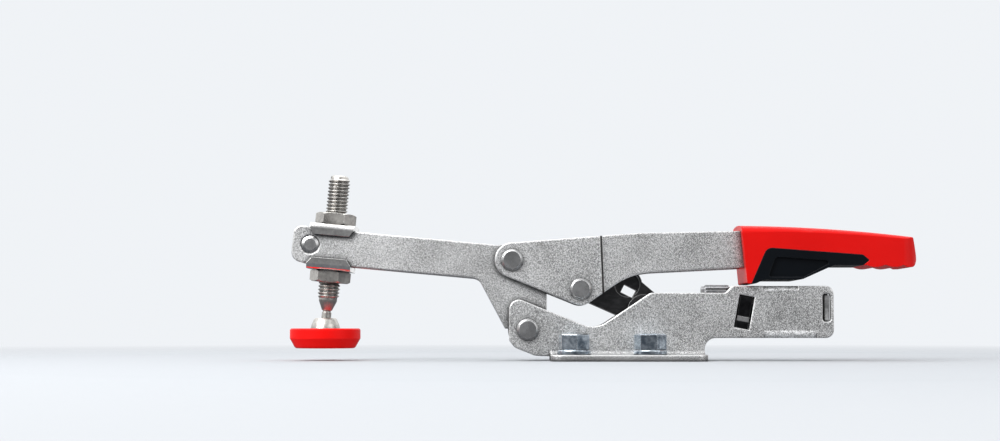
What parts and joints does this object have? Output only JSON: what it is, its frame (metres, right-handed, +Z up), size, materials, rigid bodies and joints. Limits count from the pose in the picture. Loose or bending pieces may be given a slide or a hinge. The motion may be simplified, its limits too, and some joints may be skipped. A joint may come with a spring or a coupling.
{
  "type": "horizontal toggle clamp",
  "caption": "Self-adjusting horizontal toggle clamp: flanged steel base, open fork arm with threaded swivel-pad spindle, and a grip-covered handle.",
  "frame": {"origin": "centre of the four mounting holes, on the underside of the base", "axes": "+X from the pad towards the grip, +Z up out of the mounting face, clamp symmetric about the XZ plane"},
  "size_m": [0.2279, 0.05, 0.0679],
  "materials": {
    "zinc_steel": "tumbled zinc plating, fine dark grain, bright rounded edges",
    "rivet_steel": "smooth, with a bright bevelled rim",
    "bright_steel": "bright zinc",
    "dark_steel": "dark, satin",
    "spindle_steel": "zinc plating, satin",
    "black_steel": "black, satin",
    "grip_red": "moulded, satin gloss",
    "grip_dark": "moulded, fine grain",
    "pad_red": "smooth, slightly glossy"
  },
  "bodies": {
    "base": {"base_left": "zinc_steel", "base_right": "zinc_steel", "rear_plate": "bright_steel", "lock_saddle": "dark_steel", "lock_shims": "bright_steel", "lock_spring": "bright_steel", "screw_block": "dark_steel"},
    "front_pivot": {"arm_pivot_rivet": "rivet_steel"},
    "arm": {"arm_left": "zinc_steel", "arm_right": "zinc_steel", "arm_front_rivet": "rivet_steel", "arm_pivot_bush": "dark_steel", "handle_pivot_bush": "dark_steel"},
    "handle_pivot": {"handle_pivot_rivet": "rivet_steel"},
    "handle": {"handle_left": "zinc_steel", "handle_right": "zinc_steel", "link_rivet": "rivet_steel", "grip_shell": "grip_red", "grip_insert": "grip_dark"},
    "link": {"link": "black_steel", "link_pin": "rivet_steel"},
    "slide": {"slide": "black_steel", "slide_pins": "rivet_steel"},
    "lock": {"lock_plate": "dark_steel"},
    "carriage": {"washer_upper": "bright_steel", "washer_lower": "bright_steel", "nut_upper": "spindle_steel", "nut_lower": "spindle_steel"},
    "spindle": {"spindle": "spindle_steel"},
    "pad": {"ball_cup": "spindle_steel", "pad": "pad_red"},
    "force_screw": {"force_screw": "spindle_steel"}
  },
  "joints": [
    {"name": "height_adjust", "type": "hinge", "parent": "base", "child": "front_pivot", "pos_m": [-0.03, 0, 0.0112], "axis": [0, 1, 0], "range_deg": [0, 21]},
    {"name": "arm_open", "type": "hinge", "parent": "front_pivot", "child": "arm", "pos_m": [-0.03, 0, 0.0112], "axis": [0, 1, 0], "range_deg": [0, 62]},
    {"name": "handle_level", "type": "hinge", "parent": "arm", "child": "handle_pivot", "pos_m": [-0.0357, 0, 0.03635], "axis": [0, -1, 0], "range_deg": [0, 21]},
    {"name": "handle_swing", "type": "hinge", "parent": "handle_pivot", "child": "handle", "pos_m": [-0.0357, 0, 0.03635], "axis": [0, -1, 0], "range_deg": [0, 124]},
    {"name": "link_swing", "type": "hinge", "parent": "handle", "child": "link", "pos_m": [-0.01085, 0, 0.02585], "axis": [0, 1, 0], "range_deg": [0, 137]},
    {"name": "slide_travel", "type": "slide", "parent": "base", "child": "slide", "axis": [1, 0, 0], "range_m": [0, 0.0093]},
    {"name": "lock_tilt", "type": "hinge", "parent": "base", "child": "lock", "pos_m": [0.04999, 0, 0.01562], "axis": [0, 1, 0], "range_deg": [0, 4], "stiffness_Nm_per_rad": 0.02, "springref_deg": -5.73},
    {"name": "spindle_slide", "type": "slide", "parent": "arm", "child": "carriage", "axis": [0.9959, 0, -0.0906], "range_m": [0, 0.012]},
    {"name": "spindle_height", "type": "slide", "parent": "carriage", "child": "spindle", "axis": [0.0906, 0, 0.9959], "range_m": [-0.012, 0.006]},
    {"name": "pad_tilt", "type": "hinge", "parent": "spindle", "child": "pad", "pos_m": [-0.10424, 0, 0.01256], "axis": [0, 1, 0], "range_deg": [-8, 8]},
    {"name": "force_screw_turn", "type": "hinge", "parent": "base", "child": "force_screw", "pos_m": [0.04, 0, 0.0244], "axis": [1, 0, 0], "range_deg": [-180, 180]}
  ],
  "couplings": [
    {"joint": "handle_level", "follows": "height_adjust", "ratio": 1},
    {"joint": "slide_travel", "follows": "height_adjust", "m_per_rad": 0.0253},
    {"joint": "handle_swing", "follows": "arm_open", "ratio": 2},
    {"joint": "link_swing", "follows": "arm_open", "ratio": 2.2}
  ]
}
